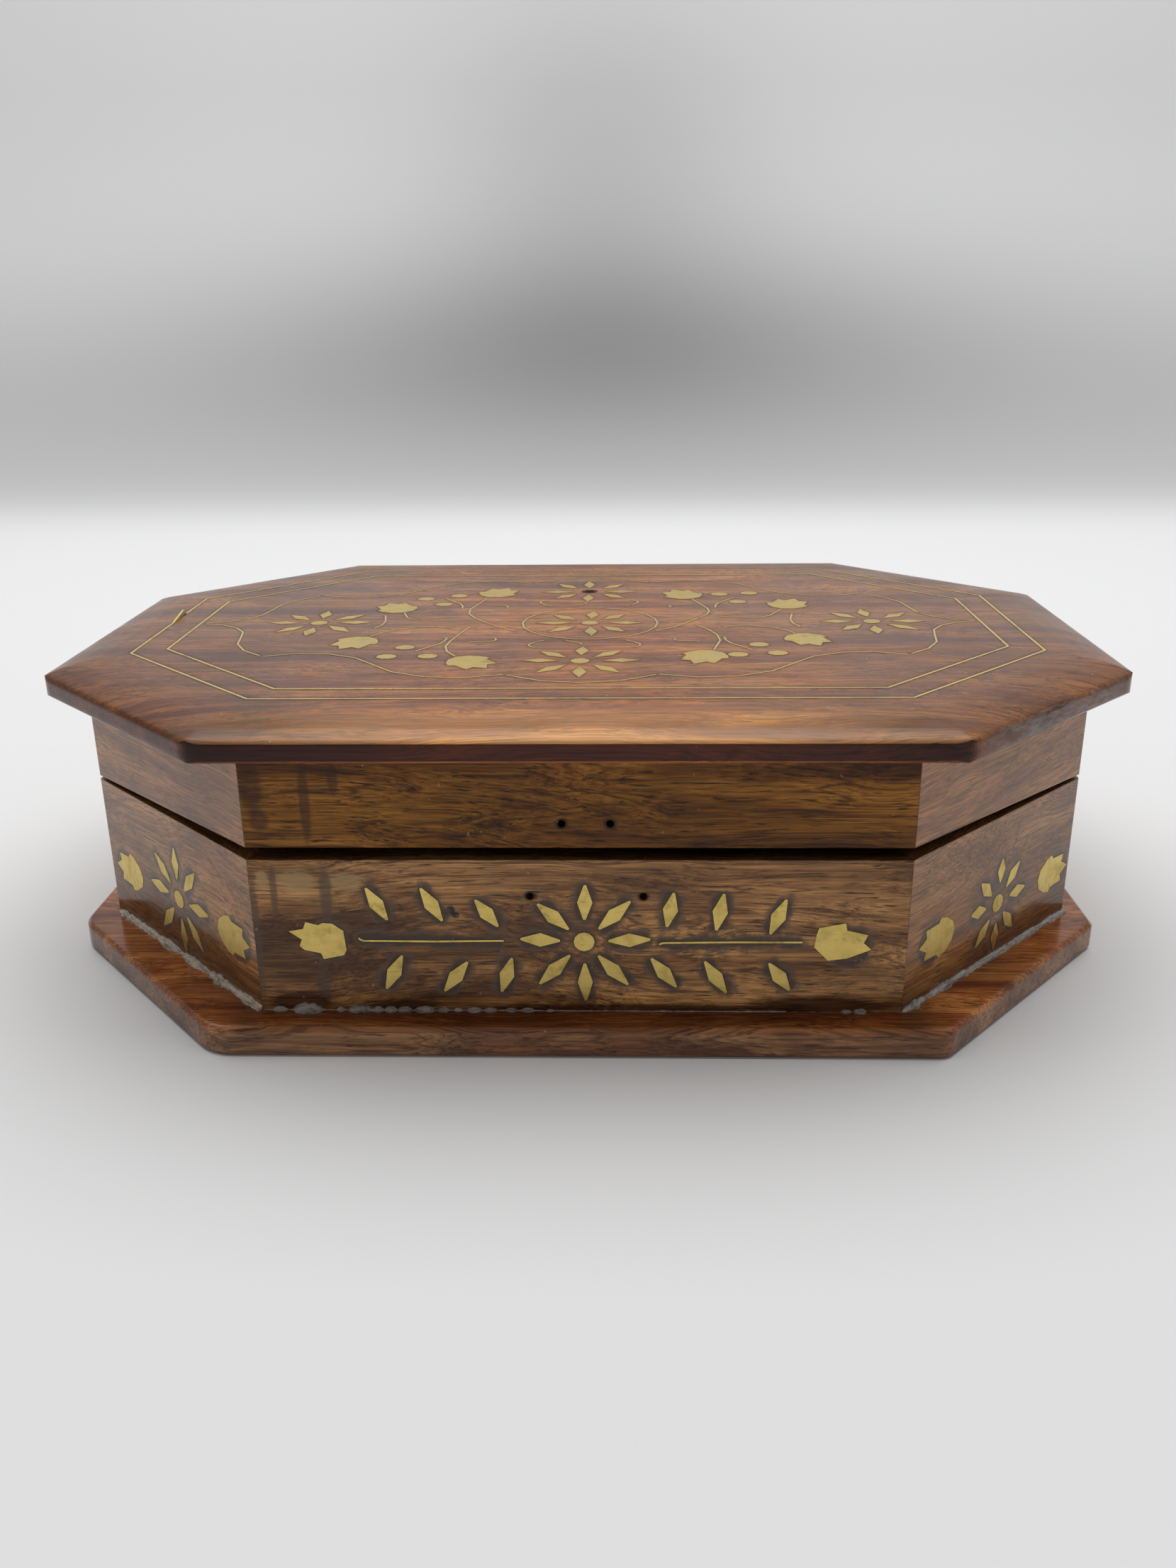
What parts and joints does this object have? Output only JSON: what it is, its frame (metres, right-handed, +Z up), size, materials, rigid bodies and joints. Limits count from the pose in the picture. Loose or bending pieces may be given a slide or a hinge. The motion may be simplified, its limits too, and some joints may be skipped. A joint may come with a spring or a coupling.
{
  "type": "inlaid wooden box",
  "caption": "Octagonal hinged wooden box with an overhanging crowned lid and base, brass flower and wire inlay, and butt hinges at the back.",
  "frame": {"origin": "middle of the base plate's underside", "axes": "+Z up, +X along the length to the right, the front faces -Y"},
  "size_m": [0.254, 0.184, 0.0755],
  "materials": {
    "lid_wood": "varnished red-brown rosewood type, long dark grain",
    "rim_wood": "varnished golden-brown, dark streaks",
    "wall_wood": "varnished walnut-brown, dark filler round the inlay",
    "base_wood": "varnished red-brown",
    "inlay_brass": "filed flush, fine scratches, pale gold",
    "hinge_brass": "plain, lightly tarnished",
    "felt": "dark red felt"
  },
  "bodies": {
    "box": {"base_plate": "base_wood", "floor_lining": "felt", "front_flower": "inlay_brass", "front_leaves": "inlay_brass", "front_left_flower": "inlay_brass", "front_left_tulips": "inlay_brass", "front_right_flower": "inlay_brass", "front_right_tulips": "inlay_brass", "front_stems": "inlay_brass", "front_tulips": "inlay_brass", "left_flower": "inlay_brass", "left_hinge_box_leaf": "hinge_brass", "left_tulips": "inlay_brass", "lower_back": "wall_wood", "lower_back_left": "wall_wood", "lower_back_right": "wall_wood", "lower_front": "wall_wood", "lower_front_left": "wall_wood", "lower_front_right": "wall_wood", "lower_left": "wall_wood", "lower_right": "wall_wood", "right_flower": "inlay_brass", "right_hinge_box_leaf": "hinge_brass", "right_tulips": "inlay_brass"},
    "lid": {"left_hinge_lid_leaf": "hinge_brass", "lid_berries": "inlay_brass", "lid_board": "lid_wood", "lid_border_inner": "inlay_brass", "lid_border_outer": "inlay_brass", "lid_cartouche": "inlay_brass", "lid_flower_centres": "inlay_brass", "lid_petals": "inlay_brass", "lid_scrolls": "inlay_brass", "lid_tulips": "inlay_brass", "right_hinge_lid_leaf": "hinge_brass", "rim_back": "rim_wood", "rim_back_left": "rim_wood", "rim_back_right": "rim_wood", "rim_front": "rim_wood", "rim_front_left": "rim_wood", "rim_front_right": "rim_wood", "rim_left": "rim_wood", "rim_right": "rim_wood"}
  },
  "joints": [
    {"name": "lid_hinge", "type": "hinge", "parent": "box", "child": "lid", "pos_m": [0, 0.0862, 0.04315], "axis": [-1, 0, 0], "range_deg": [0, 172]}
  ]
}
